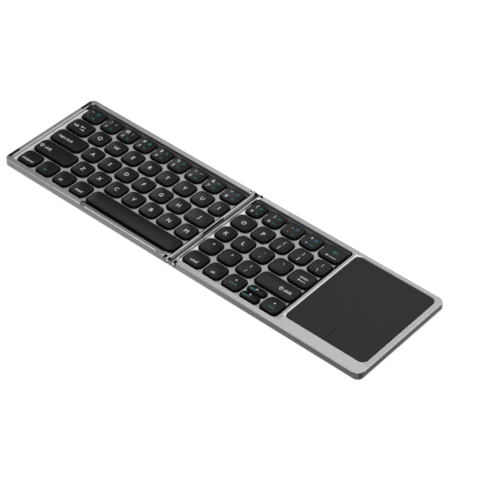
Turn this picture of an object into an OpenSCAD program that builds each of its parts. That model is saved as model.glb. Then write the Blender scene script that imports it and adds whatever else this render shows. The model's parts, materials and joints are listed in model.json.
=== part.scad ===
// Folding keyboard with a touchpad. Two aluminium halves hang on a two-pin spine and close
// face to face. The origin is on the table, under the middle of the spine. +X is the touchpad's
// side and +Y is the back.

/* [Case] */
// Thickness of the case without its feet
case_t = 5.2; // [4.8:0.1:8]
// Front rim, from the front face to the key recess
rim_front = 4.6; // [3.6:0.1:8]
// Back rim
rim_back = 4.1; // [3.6:0.1:8]
// Outer rim of the left half
rim_left = 3.7; // [3:0.1:8]
// Outer rim of the right half, beside the touchpad
rim_right = 4.5; // [3:0.1:8]
// Rib between the keys and the touchpad
rib_w = 2.95; // [2:0.05:6]
// Radius of the outer corners
corner_r = 4.5; // [2:0.1:8]
// Chamfer along the outer top edges
edge_cut = 0.35; // [0.2:0.05:0.8]
// Chamfer round the key recesses
recess_cut = 0.4; // [0.1:0.05:0.6]
// Corner radius of the two key recesses
recess_r = 3; // [1.5:0.1:5]
// Depth from the rim down to the metal between the keys
recess_h = 1.85; // [1.5:0.05:2.2]
// Thickness of the base sheets
base_t = 0.6; // [0.4:0.05:1]
// Thickness of the rubber feet
foot_t = 0.8; // [0.4:0.1:2]

/* [Keys] */
// Distance from key to key
pitch_x = 16.9; // [15.5:0.1:21]
// Distance from row to row
pitch_y = 16.3; // [15.5:0.1:20]
// Gap between two keys in a row
gap_x = 2.1; // [1.6:0.1:3]
// Gap between two rows
gap_y = 1.8; // [1.6:0.1:3]
// Corner radius of a key
key_r = 4.6; // [2:0.1:5]
// How far a key's sides lean in from bottom to top
key_taper = 0.4; // [0.1:0.05:0.8]
// Chamfer round a key's top
key_edge = 0.3; // [0.1:0.05:0.5]
// Depth of the dish in a key's top
key_dish = 0.12; // [0.05:0.01:0.25]
// How far a key goes down
key_travel = 1.3; // [0.8:0.1:1.4]
// Clearance round a key in its hole
key_clear = 0.4; // [0.2:0.05:0.6]

/* [Touchpad] */
// Width of the touchpad
pad_w = 66.2; // [50:0.1:90]
// Length of the touchpad, front to back
pad_d = 77.4; // [60:0.1:80]
// Corner radius of the touchpad
pad_r = 4.2; // [2:0.1:8]
// Thickness of the touchpad
pad_t = 0.7; // [0.6:0.05:1]
// How far the touchpad lies below the rim
pad_drop = 0.5; // [0.2:0.05:0.8]
// Chamfer round the touchpad's opening
pad_cut = 0.5; // [0.1:0.05:0.6]
// Gap round the touchpad
pad_gap = 0.3; // [0.2:0.05:0.5]
// Distance from the back face to the touchpad's opening
pad_back = 3.55; // [3.2:0.05:6]

/* [Hinge] */
// Distance between the two pins
pin_spacing = 5.8; // [5.4:0.1:7]
// Radius of a pin
pin_r = 0.8; // [0.5:0.05:1]
// Radius of a link's round ends
link_r = 2.45; // [2:0.05:2.6]
// Thickness of a link
link_t = 2.2; // [1.5:0.1:3]
// Running clearance between a pin and its lug
pin_clear = 0.05; // [0.02:0.01:0.1]
// Gap between the two halves when open
half_gap = 3.2; // [2.8:0.1:4]
// Width of the ribbon cable
ribbon_w = 20; // [10:1:30]

/* [Inside] */
// Width of the battery
battery_w = 60; // [30:1:80]
// Length of the battery
battery_d = 45; // [30:1:50]
// Thickness of the battery
battery_t = 2.2; // [1.5:0.1:2.6]
// Radius of a screw's shank
screw_r = 0.5; // [0.3:0.05:0.6]

/* [Hidden] */
$fn = 48;

// Heights
top_z = foot_t + case_t;
floor_z = foot_t + base_t;
deck_t = 0.8;
deck_z = top_z - recess_h;
ledge_z = deck_z - deck_t;
ledge_w = 0.9;
key_drop = 0.1;
key_top = top_z - key_drop;
key_wall = 0.8;
key_roof = 0.9;
key_ceiling = key_top - key_roof;
sheet_t = 0.5;
sheet_z = floor_z + sheet_t;
key_room = 0.4;
key_low = sheet_z + key_travel + key_room;

// Clearances: a sliding fit, a close fit, and how far a cut runs past the face it opens
slip = 0.1;
close = 0.05;
past = 1;

// Rows of keys: the first key's width in pitches, then the node of each key from left to
// right. The last key of a row fills what is left, and "arrows" is two half-height keys.
function many(name, count) = [for (i = [1 : count]) name];
function letters(word) = [for (c = word) str("key_", c)];
LEFT_ROWS = [
    [1.12, many("number_keys_left", 9)],
    [1.325, concat(["tab_key"], letters("qwertyui"))],
    [1.875, concat(["caps_lock_key"], letters("asdfghj"))],
    [2.215, concat(["left_shift_key"], letters("zxcvbnm"))],
    [1.09, concat(many("left_bottom_row", 4), ["space_bar"])]
];
RIGHT_ROWS = [
    [0.88, concat(many("number_keys_right", 4), ["backspace_key"])],
    [1.105, concat(letters("op"), many("punctuation_keys", 3))],
    [0.88, concat(letters("kl"), many("punctuation_keys", 2), ["enter_key"])],
    [0.99, concat(many("punctuation_keys", 3), ["right_shift_key"])],
    [1.105, concat(many("right_bottom_row", 3), ["arrows", "right_bottom_row"])]
];
left_units = 9.18;
right_units = 5.1;
arrow_gap = 0.7;

// Plan sizes. Each half is laid out from the hinge outwards.
key_d = pitch_y - gap_y;
margin_front = 1.3;
margin_back = 2.2;
margin_hinge = 1.4;
margin_left = 3.1;
margin_rib = 1.5;
hinge_wall = 1.4;
case_d = rim_front + margin_front + 4 * pitch_y + key_d + margin_back + rim_back;
y_front = -case_d / 2;
y_back = case_d / 2;
recess_y = [y_front + rim_front, y_back - rim_back];
end_x = half_gap / 2;
recess_x = end_x + hinge_wall;
field_x = recess_x + margin_hinge;
left_field = left_units * pitch_x - gap_x;
right_field = right_units * pitch_x - gap_x;
left_recess = [-(field_x + left_field + margin_left), -recess_x];
right_recess = [recess_x, field_x + right_field + margin_rib];
left_out = -left_recess[0] + rim_left;
pad_hole_x = [right_recess[1] + rib_w, right_recess[1] + rib_w + pad_w + 2 * pad_gap];
pad_hole_y = [y_back - pad_back - pad_d - 2 * pad_gap, y_back - pad_back];
right_out = pad_hole_x[1] + rim_right;
pad_mid = (pad_hole_x[0] + pad_hole_x[1]) / 2;

// Touchpad heights and the seat that carries its back edge
pad_z = top_z - pad_drop - pad_t;
pad_seat_z = pad_z - slip;
pad_seat_w = 3;
pad_click = 0.45;

// Hinge
pin_x = pin_spacing / 2;
pin_z = top_z - link_r;
link_gap = 0.3;
link_play = 0.15;
waist_cut = 0.9;
lug_y = y_back - link_t - link_play;
lug_bore = 1.3;
pin_end = 0.1;
pin_grip = 0.02;
// Width and depth of the ring sunk round a pin's end
pin_ring = [0.35, 0.4];
bar_play = 0.25;
bar_w = half_gap - 2 * bar_play;
bar_top = pin_z - (pin_x - end_x) - bar_play;
ribbon_t = 0.25;
ribbon_z = max(bar_top + 2 * slip, sheet_z + 3 * slip);
slot_h = 2.2;

// Screws, in the rims
screw_len = 2.2;
screw_grip = 0.02;
head_r = 0.95;
head_t = 0.35;
// Length, width and depth of a screw's crossed recess
cross = [1.2, 0.24, 0.2];
screw_in = 2.5;
screw_y = [y_front + screw_in, y_back - screw_in];
screw_from_spine = 19.7;
screw_from_end = 11.5;
function screw_x(out) =
    [screw_from_spine, (screw_from_spine + out - screw_from_end) / 2, out - screw_from_end];
left_screw_x = -screw_x(left_out);
right_screw_x = screw_x(right_out);

// Charging socket, in the back wall behind the touchpad
socket_w = 8.94;
socket_h = 3.26;
socket_l = 7.3;
socket_r = 1.6;
socket_wall = 0.3;
socket_z = floor_z + socket_h / 2 + close;

SILVER = "#b9bcc0";
DARK_SILVER = "#8f9296";
STEEL = "#d5d7da";
KEY_BLACK = "#232427";
PAD_BLACK = "#2f3033";
RUBBER = "#17181a";
BOARD_GREEN = "#1f4a36";
FILM_AMBER = "#9a6a2c";
CELL_GREY = "#6d7075";
LEVER_WHITE = "#d9dad6";
SHEET_GREY = "#3a3c42";
PIN_BRIGHT = "#eceef0";

// Key tables, [node, centre x, width, centre y, depth] for each key
function row_y(r) = y_back - rim_back - margin_back - key_d / 2 - r * pitch_y;
function start_x(x0, first, i) = x0 + (i == 0 ? 0 : (first + i - 1) * pitch_x);
function wide(x0, field, first, i, last) =
    i == 0 ? first * pitch_x - gap_x
    : i < last ? pitch_x - gap_x
    : x0 + field - start_x(x0, first, i);
half_d = (key_d - arrow_gap) / 2;
half_y = (half_d + arrow_gap) / 2;
function table(rows, x0, field) = [
    for (r = [0 : len(rows) - 1])
        for (i = [0 : len(rows[r][1]) - 1])
            let (
                name = rows[r][1][i],
                w = wide(x0, field, rows[r][0], i, len(rows[r][1]) - 1),
                x = start_x(x0, rows[r][0], i) + w / 2,
                y = row_y(r)
            )
            each name == "arrows"
                ? [for (s = [1, -1]) ["right_bottom_row", x, w, y + s * half_y, half_d]]
                : [[name, x, w, y, key_d]]
];
LEFT_KEYS = table(LEFT_ROWS, -(field_x + left_field), left_field);
RIGHT_KEYS = table(RIGHT_ROWS, field_x, right_field);

KEY_NODES = concat(
    letters("abcdefghijklmnopqrstuvwxyz"),
    ["tab_key", "caps_lock_key", "left_shift_key", "space_bar", "backspace_key", "enter_key",
     "right_shift_key", "number_keys_left", "number_keys_right", "punctuation_keys",
     "left_bottom_row", "right_bottom_row"]
);

// A rectangle with round corners, given by its four edges
module rounded(x, y, r) {
    for (cx = [x[0] + r, x[1] - r], cy = [y[0] + r, y[1] - r]) translate([cx, cy]) circle(r);
    translate([x[0] + r, y[0]]) square([x[1] - x[0] - 2 * r, y[1] - y[0]]);
    translate([x[0], y[0] + r]) square([x[1] - x[0], y[1] - y[0] - 2 * r]);
}

// A flat outline raised between two heights
module slab(z) translate([0, 0, z[0]]) linear_extrude(z[1] - z[0]) children();

// An outline drawn in x and z, run along y, and one drawn in y and z, run along x
module along_y(y) translate([0, y[1], 0]) rotate([90, 0, 0]) linear_extrude(y[1] - y[0]) children();
module along_x(x) translate([x[0], 0, 0]) rotate([90, 0, 90]) linear_extrude(x[1] - x[0]) children();

// A block between two heights whose four sides lean in by `lean` on the way up, and whose
// round corners are cones that follow them. A negative lean opens it like a funnel.
module leaning_block(x, y, r, z, lean) {
    along_y([y[0] + r, y[1] - r]) polygon(
        [[x[0], z[0]], [x[1], z[0]], [x[1] - lean, z[1]], [x[0] + lean, z[1]]]);
    along_x([x[0] + r, x[1] - r]) polygon(
        [[y[0], z[0]], [y[1], z[0]], [y[1] - lean, z[1]], [y[0] + lean, z[1]]]);
    for (cx = [x[0] + r, x[1] - r], cy = [y[0] + r, y[1] - r])
        translate([cx, cy, z[0]]) cylinder(r1 = r, r2 = r - lean, h = z[1] - z[0]);
}

// The cut that leaves a chamfer of width c round an opening in the top face
module opening_edge(x, y, r, c)
    leaning_block(x, y, r, [top_z - c, top_z + past], -(c + past));

// A half's outer block, from the hinge to x_out, with a chamfer round its top and a round edge
// over the hinge
module half_block(x_out) {
    round_r = pin_x - end_x;
    steps = 6;
    spread = case_t - edge_cut;
    intersection() {
        slab([foot_t, top_z]) {
            rounded([end_x, x_out], [y_front, y_back], corner_r);
            translate([end_x, y_front]) square([2 * corner_r, case_d]);
        }
        along_y([y_front - past, y_back + past]) polygon(concat(
            [for (i = [0 : steps]) let (a = 90 * (1 - i / steps))
                [end_x + round_r * (1 - sin(a)), top_z - round_r * (1 - cos(a))]],
            [[x_out + past, top_z], [x_out + past, foot_t], [end_x, foot_t]]));
        leaning_block([end_x - 4 * case_t, x_out + spread], [y_front - spread, y_back + spread],
            corner_r + spread, [foot_t, top_z], case_t);
    }
}

// The room that the end links need in a half: round the pin, out over the end, and up past the
// pin for the link to stand in when the half is closed
module link_pocket() {
    r = link_r + link_gap;
    for (y = [[lug_y, y_back + past], [y_front - past, -lug_y]]) along_y(y) {
        translate([pin_x, pin_z]) circle(r);
        translate([-past, foot_t - past]) square([pin_x + past, top_z]);
        translate([pin_x - past, pin_z]) square([r + past + 2 * slip, link_r + past]);
    }
}

module lug_bores() for (y = [[lug_y - lug_bore, lug_y + past], [-lug_y - past, -lug_y + lug_bore]])
    along_y(y) translate([pin_x, pin_z]) circle(pin_r + pin_clear);

module screw_holes(xs) for (x = xs, y = screw_y)
    translate([x, y, foot_t - past])
        cylinder(r = screw_r + screw_grip, h = past + screw_len + slip);

// Everything that both halves' frames have cut out of them
module frame_cuts(x_out, recess, xs) {
    slab([ledge_z, top_z + past]) rounded(recess, recess_y, recess_r);
    opening_edge(recess, recess_y, recess_r, recess_cut);
    slab([floor_z - slip, ledge_z + slip]) rounded(
        [recess[0] + ledge_w, recess[1] - ledge_w],
        [recess_y[0] + ledge_w, recess_y[1] - ledge_w], recess_r - ledge_w);
    slab([foot_t - past, floor_z]) rounded(
        [recess_x, x_out - skirt], [y_front + skirt, y_back - skirt], corner_r - skirt);
    along_x([0, recess_x + ledge_w + past]) translate([-ribbon_w / 2 - slot_play, bar_top])
        square([ribbon_w + 2 * slot_play, slot_h]);
    link_pocket();
    lug_bores();
    screw_holes(xs);
}
skirt = 1;
slot_play = 1;

// The left half's milled aluminium frame, with a thumb scoop in front of the space bar and
// pockets for two bumpers
scoop_in = [0.6, 3.8];
scoop_x = [-(field_x + left_field - (LEFT_ROWS[4][0] + 3) * pitch_x) + scoop_in[0],
           -(field_x + scoop_in[1])];
scoop_lip = 1;
scoop_y = [y_front + scoop_lip, recess_y[0] + past];
scoop_h = 1.1;
scoop_r = 3;
bumper_w = 2;
bumper_l = 10.3;
bumper_h = 0.6;
bumper_seat = 0.5;
bumper_from_back = 8.95;
bumper_y = y_back - bumper_from_back;
bumper_x = -left_out + rim_left / 2 + slip;
module bumper_outlines(grow) for (s = [-1, 1]) rounded(
    [bumper_x - bumper_w / 2 - grow, bumper_x + bumper_w / 2 + grow],
    [s * bumper_y - bumper_l / 2 - grow, s * bumper_y + bumper_l / 2 + grow],
    bumper_w / 2 - slip + grow);
module left_frame() color(SILVER) difference() {
    mirror([1, 0, 0]) difference() {
        half_block(left_out);
        frame_cuts(left_out, [-left_recess[1], -left_recess[0]], [for (x = left_screw_x) -x]);
    }
    slab([top_z - scoop_h, top_z + past]) rounded(scoop_x, scoop_y, scoop_r);
    slab([top_z - bumper_seat, top_z + past]) bumper_outlines(close);
}

// The right half's frame also holds the touchpad. A seat behind the pad carries its back edge,
// and a low way through the rib, 12 mm wide and 1 mm high, lets the wires past.
wire_way = [12, 1];
pad_room_r = 2;
module right_frame() color(SILVER) difference() {
    half_block(right_out);
    frame_cuts(right_out, right_recess, right_screw_x);
    slab([pad_seat_z, top_z + past]) rounded(pad_hole_x, pad_hole_y, pad_r + pad_gap);
    opening_edge(pad_hole_x, pad_hole_y, pad_r + pad_gap, pad_cut);
    slab([floor_z - slip, pad_seat_z + slip]) rounded(
        pad_hole_x, [pad_hole_y[0], pad_hole_y[1] - pad_seat_w], pad_room_r);
    slab([floor_z - slip, floor_z + wire_way[1]]) translate(
        [right_recess[1] - ledge_w - past, -wire_way[0] / 2])
        square([rib_w + ledge_w + 2 * past, wire_way[0]]);
    along_y([pad_hole_y[1] - pad_seat_w - past, y_back + past]) socket_outline(close);
    slab([floor_z - slip, pad_seat_z + past]) translate(
        [pad_mid - socket_w / 2 - close, pad_hole_y[1] - pad_seat_w - past])
        square([socket_w + 2 * close, pad_seat_w + past]);
}

// The decks between the keys, with a hole for each key. A shallow key has smaller corners.
function corner_of(d) = min(key_r, d / 2 - slip);
module key_plate(recess, keys) color(DARK_SILVER) slab([ledge_z, deck_z]) difference() {
    rounded([recess[0] + slip, recess[1] - slip],
        [recess_y[0] + slip, recess_y[1] - slip], recess_r - slip);
    for (k = keys) rounded(
        [k[1] - k[2] / 2 - key_clear, k[1] + k[2] / 2 + key_clear],
        [k[3] - k[4] / 2 - key_clear, k[3] + k[4] / 2 + key_clear],
        corner_of(k[4]) + key_clear);
}
module left_key_plate() key_plate(left_recess, LEFT_KEYS);
module right_key_plate() key_plate(right_recess, RIGHT_KEYS);

// The base sheets, let into the frames and screwed to them
module base_sheet(x_out, xs) color(DARK_SILVER) difference() {
    slab([foot_t, floor_z]) rounded(
        [recess_x + slip, x_out - skirt - slip],
        [y_front + skirt + slip, y_back - skirt - slip], corner_r - skirt - slip);
    link_pocket();
    for (x = xs, y = screw_y) translate([x, y, foot_t - past]) {
        cylinder(r = screw_r + slip, h = past + 2 * base_t);
        cylinder(r = head_r + slip, h = past + head_t);
    }
}
module left_base() mirror([1, 0, 0]) base_sheet(left_out, [for (x = left_screw_x) -x]);
module right_base() base_sheet(right_out, right_screw_x);

// The spine: a link plate at each end, with a notch between its two round ends and a ring sunk
// round each pin, and a low bar that joins the links
module hinge_spine() color(STEEL) difference() {
    union() {
        for (y = [[y_back - link_t, y_back], [y_front, y_front + link_t]]) along_y(y) {
            for (s = [-1, 1]) translate([s * pin_x, pin_z]) circle(link_r);
            translate([-pin_x, pin_z - link_r]) square([2 * pin_x, 2 * link_r - waist_cut]);
        }
        slab([foot_t + slip, bar_top]) square([bar_w, case_d - link_t], center = true);
    }
    for (s = [-1, 1]) {
        along_y([y_front - past, y_back + past]) translate([s * pin_x, pin_z])
            circle(pin_r + pin_grip);
        for (y = [[y_back - pin_ring[1], y_back + past], [y_front - past, y_front + pin_ring[1]]])
            along_y(y) translate([s * pin_x, pin_z]) circle(pin_r + pin_ring[0]);
    }
}

// Four short pins, fixed in the links and turning in the halves' lugs
module hinge_pins() color(PIN_BRIGHT)
    for (s = [-1, 1], y = [[lug_y - lug_bore + slip, y_back - pin_end],
                           [y_front + pin_end, -lug_y + lug_bore - slip]])
        along_y(y) translate([s * pin_x, pin_z]) circle(pin_r);

module ribbon_cable() color(FILM_AMBER) slab([ribbon_z, ribbon_z + ribbon_t])
    square([2 * (field_x - slip), ribbon_w], center = true);

// The touchpad, with a short groove that parts the left click from the right one
groove_w = 0.6;
groove_l = 13;
groove_d = 0.15;
module touchpad() color(PAD_BLACK) difference() {
    slab([pad_z, pad_z + pad_t]) rounded(
        [pad_hole_x[0] + pad_gap, pad_hole_x[1] - pad_gap],
        [pad_hole_y[0] + pad_gap, pad_hole_y[1] - pad_gap], pad_r);
    translate([pad_mid - groove_w / 2, pad_hole_y[0] - past, pad_z + pad_t - groove_d])
        cube([groove_w, groove_l + pad_gap + past, past]);
}

// A click switch on its own small board, under the front of the touchpad
switch_in = 5;
switch_board = [9, 7, 0.8];
switch_body = [6, 6, 1.4];
button_r = 1.5;
module on_floor(size, z) translate([-size[0] / 2, -size[1] / 2, z]) cube(size);
module touchpad_switch() color(LEVER_WHITE)
    translate([pad_mid, pad_hole_y[0] + switch_in, floor_z]) {
        on_floor(switch_board, 0);
        on_floor(switch_body, switch_board[2]);
        cylinder(r = button_r, h = pad_z - pad_click - floor_z);
    }

// Contact sheets with a rubber dome under each key, or two under the space bar
long_key = 40;
lever_most = 9.4;
dome_most = 2.4;
function lever_spots(k) = k[2] > long_key ? [k[1] - k[2] / 4, k[1] + k[2] / 4] : [k[1]];
function lever_w(k) = min(lever_most, k[4] - 2 * key_wall - 6 * slip);
function lever_bar(k) = lever_w(k) > 6 ? 0.9 : 0.5;
function inner_w(k) = lever_w(k) - 2 * lever_bar(k) - 2 * slip;
function dome_r(k) = min(dome_most, inner_w(k) / 2 - lever_bar(k) - slip);
module switch_sheet(recess, keys) color(SHEET_GREY) {
    in = ledge_w + 2 * slip;
    slab([floor_z, sheet_z]) rounded(
        [recess[0] + in, recess[1] - in], [recess_y[0] + in, recess_y[1] - in], recess_r - in);
    dome_h = key_ceiling - slip - sheet_z;
    for (k = keys) for (x = lever_spots(k)) translate([x, k[3], sheet_z - slip])
        rotate_extrude() dome(dome_r(k), dome_h);
}
module dome(r, h) polygon([[0, 0], [r, 0], [0.85 * r, 0.3 * h], [0.5 * r, 0.65 * h],
    [0.5 * r, h + slip], [0, h + slip]]);
module left_switch_sheet() switch_sheet(left_recess, LEFT_KEYS);
module right_switch_sheet() switch_sheet(right_recess, RIGHT_KEYS);

// Scissors: two ring levers that cross on a pair of studs
lever_l = 9;
lever_t = 0.8;
lever_rise = key_ceiling - slip - (sheet_z + slip);
lever_turn = asin((lever_rise - lever_t) / lever_l);
module ring_lever(w, bar) difference() {
    cube([lever_l, w, lever_t], center = true);
    cube([lever_l - 2 * bar, w - 2 * bar, 2 * lever_t], center = true);
}
stud_r = 0.2;
module scissor(k) {
    rotate([0, lever_turn, 0]) difference() {
        ring_lever(lever_w(k), lever_bar(k));
        rotate([90, 0, 0]) cylinder(r = stud_r + close, h = 2 * lever_w(k), center = true);
    }
    rotate([0, -lever_turn, 0]) {
        ring_lever(inner_w(k), lever_bar(k));
        for (s = [-1, 1]) translate([0, s * inner_w(k) / 2, 0]) rotate([90, 0, 0])
            cylinder(r = stud_r, h = 1.4 * lever_bar(k), center = true);
    }
}
module scissors(keys) color(LEVER_WHITE) for (k = keys) for (x = lever_spots(k))
    translate([x, k[3], sheet_z + slip + lever_rise / 2]) scissor(k);
module left_scissors() scissors(LEFT_KEYS);
module right_scissors() scissors(RIGHT_KEYS);

// A pouch battery under the touchpad, with its folded seam at the back
battery_y = pad_hole_y[0] + 9;
battery_r = 2;
// Width and thickness of the seam
seam = [3.5, 0.3];
module battery() color(CELL_GREY) translate([pad_mid - battery_w / 2, battery_y, floor_z]) {
    slab([0, battery_t]) rounded([0, battery_w], [0, battery_d], battery_r);
    translate([battery_r, battery_d - past, battery_t / 2])
        cube([battery_w - 2 * battery_r, seam[0], seam[1]]);
}

// The charging board, with its parts and the socket that opens in the back wall
module socket_outline(grow) translate([pad_mid, socket_z]) rounded(
    [-socket_w / 2 - grow, socket_w / 2 + grow],
    [-socket_h / 2 - grow, socket_h / 2 + grow], socket_r + grow);
board = [26, 12, 0.8];
board_y = y_back - 19;
chip = [4, 4, 1.1];
chip_x = [-8, 0, 7];
socket_back = 1;
tongue = [6.7, 5.2, 0.7];
module charging_board() {
    color(BOARD_GREEN) {
        translate([pad_mid - board[0] / 2, board_y, floor_z]) cube(board);
        for (x = chip_x) translate([pad_mid + x, board_y + chip[1], floor_z])
            on_floor(chip, board[2] - slip);
    }
    color(STEEL) difference() {
        along_y([y_back - close - socket_l, y_back - close]) socket_outline(0);
        along_y([y_back - socket_l + socket_back, y_back + past]) socket_outline(-socket_wall);
    }
    color(RUBBER) translate([pad_mid - tongue[0] / 2, y_back - socket_l + socket_back / 2,
        socket_z - tongue[2] / 2]) cube(tongue);
}

// Oblong rubber feet near the corners of each half
foot_l = 16;
foot_w = 3.4;
foot_in = 6;
foot_y = [y_front + foot_in, y_back - foot_in];
foot_from_spine = 14;
foot_from_end = 15;
module feet(xs) color(RUBBER) for (x = xs, y = foot_y) slab([0, foot_t]) rounded(
    [x - foot_l / 2, x + foot_l / 2], [y - foot_w / 2, y + foot_w / 2], foot_w / 2 - slip);
module left_feet() feet([-foot_from_spine, -left_out + foot_from_end]);
module right_feet() feet([foot_from_spine, right_out - foot_from_end]);

// Black pads on the left rim that meet the right rim when the keyboard is closed
module fold_bumpers() color(RUBBER) slab([top_z - bumper_seat, top_z + bumper_h])
    bumper_outlines(0);

// Small countersunk screws with a crossed recess
module screws(xs) color(STEEL) for (x = xs, y = screw_y) translate([x, y, foot_t]) difference() {
    union() {
        cylinder(r = head_r, h = head_t);
        cylinder(r = screw_r, h = screw_len);
    }
    for (a = [0, 90]) rotate(a) translate([-cross[0] / 2, -cross[1] / 2, -past])
        cube([cross[0], cross[1], past + cross[2]]);
}
module left_screws() screws(left_screw_x);
module right_screws() screws(right_screw_x);

// A keycap: sides that lean in, round corners, a hollow underside and a shallow dish, which
// runs across the key, or along the space bar
dish_steps = 4;
// The raised bar that marks F and J, and how far it lies from the key's front
homing_bar = [3.2, 0.5, 0.3];
homing_in = 3;
module dish(w) polygon(concat(
    [[-w / 2, key_top + past]],
    [for (i = [-dish_steps : dish_steps])
        [i * w / 2 / dish_steps, key_top - key_dish * (1 - pow(i / dish_steps, 2))]],
    [[w / 2, key_top + past]]));
module keycap(x, w, y, d, homing) color(KEY_BLACK) translate([x, y, 0]) {
    h = key_top - key_low;
    r = corner_of(d);
    spread = h - key_taper - key_edge;
    difference() {
        intersection() {
            leaning_block([-w / 2, w / 2], [-d / 2, d / 2], r, [key_low, key_top], key_taper);
            leaning_block([-w / 2 - spread, w / 2 + spread], [-d / 2 - spread, d / 2 + spread],
                r + spread, [key_low, key_top], h);
        }
        slab([key_low - past, key_ceiling]) rounded(
            [-w / 2 + key_wall, w / 2 - key_wall], [-d / 2 + key_wall, d / 2 - key_wall],
            r - key_wall);
        if (w > long_key) along_x([-w, w]) dish(d);
        else along_y([-d, d]) dish(w);
    }
    if (homing) translate([-homing_bar[0] / 2, -d / 2 + homing_in, key_top - homing_bar[2]])
        cube(homing_bar);
}

// All the keycaps of one node
module keys_of(name) for (k = concat(LEFT_KEYS, RIGHT_KEYS))
    if (k[0] == name) keycap(k[1], k[2], k[3], k[4], name == "key_f" || name == "key_j");

left_frame();
right_frame();
left_key_plate();
right_key_plate();
left_base();
right_base();
hinge_spine();
hinge_pins();
ribbon_cable();
touchpad();
touchpad_switch();
left_switch_sheet();
right_switch_sheet();
left_scissors();
right_scissors();
battery();
charging_board();
left_feet();
right_feet();
fold_bumpers();
left_screws();
right_screws();
for (name = KEY_NODES) keys_of(name);
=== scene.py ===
import json
import math

import bmesh
import bpy
from mathutils import Matrix, Vector
from mathutils.bvhtree import BVHTree


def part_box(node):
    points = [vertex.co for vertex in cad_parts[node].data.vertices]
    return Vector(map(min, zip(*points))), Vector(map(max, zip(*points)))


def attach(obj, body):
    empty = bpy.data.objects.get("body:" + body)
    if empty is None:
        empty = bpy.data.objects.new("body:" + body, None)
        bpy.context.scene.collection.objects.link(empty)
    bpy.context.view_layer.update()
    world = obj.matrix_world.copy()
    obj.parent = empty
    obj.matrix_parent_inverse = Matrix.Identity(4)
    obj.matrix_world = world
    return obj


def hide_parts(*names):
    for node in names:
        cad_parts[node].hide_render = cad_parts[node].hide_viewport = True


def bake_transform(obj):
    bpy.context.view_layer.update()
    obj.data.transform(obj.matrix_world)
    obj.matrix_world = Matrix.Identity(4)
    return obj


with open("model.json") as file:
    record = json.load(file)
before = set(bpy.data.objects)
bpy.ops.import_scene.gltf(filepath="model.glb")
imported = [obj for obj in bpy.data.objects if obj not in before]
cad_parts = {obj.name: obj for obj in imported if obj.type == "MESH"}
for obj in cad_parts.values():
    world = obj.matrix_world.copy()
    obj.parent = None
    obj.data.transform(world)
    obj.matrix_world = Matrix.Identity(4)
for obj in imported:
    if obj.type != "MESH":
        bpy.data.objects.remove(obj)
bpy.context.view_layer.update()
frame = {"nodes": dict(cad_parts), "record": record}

MM = 0.001
nodes = frame["nodes"]


# Camera
# The photograph looks down on the open keyboard from the front right, with a long lens. The
# place and the lens were solved from the corners of the keys and the case.
azimuth = math.radians(41.43)
elevation = math.radians(42.20)
distance = 1.2435
aim = Vector((22.79, 0.49, 6.0)) * MM
back = Vector((
    math.sin(azimuth) * math.cos(elevation),
    -math.cos(azimuth) * math.cos(elevation),
    math.sin(elevation),
))
right = Vector((0, 0, 1)).cross(back).normalized()
up = back.cross(right)
camera_data = bpy.data.cameras.new("camera")
camera_data.sensor_width = 36
camera_data.lens = 135.93
camera_data.clip_start = 0.05
camera_data.clip_end = 20
camera = bpy.data.objects.new("camera", camera_data)
turn = Matrix((right, up, back)).transposed().to_4x4()
camera.matrix_world = Matrix.Translation(aim + back * distance) @ turn
bpy.context.scene.collection.objects.link(camera)
bpy.context.scene.camera = camera
bpy.context.scene.view_settings.view_transform = "Standard"


# Table, sky and lamps
# A plain white table under a soft white sky. A broad lamp over the front lights the room, one
# behind to the left lies in the metal's shine, and one behind to the right picks out the edges.
def new_object(name, mesh):
    made = bpy.data.objects.new(name, mesh)
    bpy.context.scene.collection.objects.link(made)
    return made


def add_node(owner, kind, **values):
    """A new shader node, with values given to its sockets or else to its own settings."""
    node = owner.node_tree.nodes.new(kind)
    for key, value in values.items():
        if key in node.inputs:
            node.inputs[key].default_value = value
        else:
            setattr(node, key, value)
    return node


table_half = 2.5
table_drop = 0.02 * MM
table_glow = 0.42
sky_light = 0.28
sky_seen = 1.0
table_mesh = bpy.data.meshes.new("table")
table_bm = bmesh.new()
bmesh.ops.create_grid(table_bm, x_segments=1, y_segments=1, size=table_half)
bmesh.ops.translate(table_bm, verts=table_bm.verts, vec=(0, 0, -table_drop))
table_bm.to_mesh(table_mesh)
table_bm.free()
table = new_object("table", table_mesh)

table_white = bpy.data.materials.new("table_white")
table_white.use_nodes = True
shader = table_white.node_tree.nodes["Principled BSDF"]
shader.inputs["Base Color"].default_value = (0.86, 0.86, 0.86, 1)
shader.inputs["Roughness"].default_value = 0.9
shader.inputs["Specular IOR Level"].default_value = 0.1
shader.inputs["Emission Color"].default_value = (1, 1, 1, 1)
path = add_node(table_white, "ShaderNodeLightPath")
seen = add_node(table_white, "ShaderNodeMath", operation="MAXIMUM")
seen_too = add_node(table_white, "ShaderNodeMath", operation="MAXIMUM")
glow = add_node(table_white, "ShaderNodeMath", operation="MULTIPLY")
glow.inputs[1].default_value = table_glow
links = table_white.node_tree.links
links.new(path.outputs["Is Camera Ray"], seen.inputs[0])
links.new(path.outputs["Is Glossy Ray"], seen.inputs[1])
links.new(seen.outputs[0], seen_too.inputs[0])
links.new(path.outputs["Is Transmission Ray"], seen_too.inputs[1])
links.new(seen_too.outputs[0], glow.inputs[0])
links.new(glow.outputs[0], shader.inputs["Emission Strength"])
table_mesh.materials.append(table_white)

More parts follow.
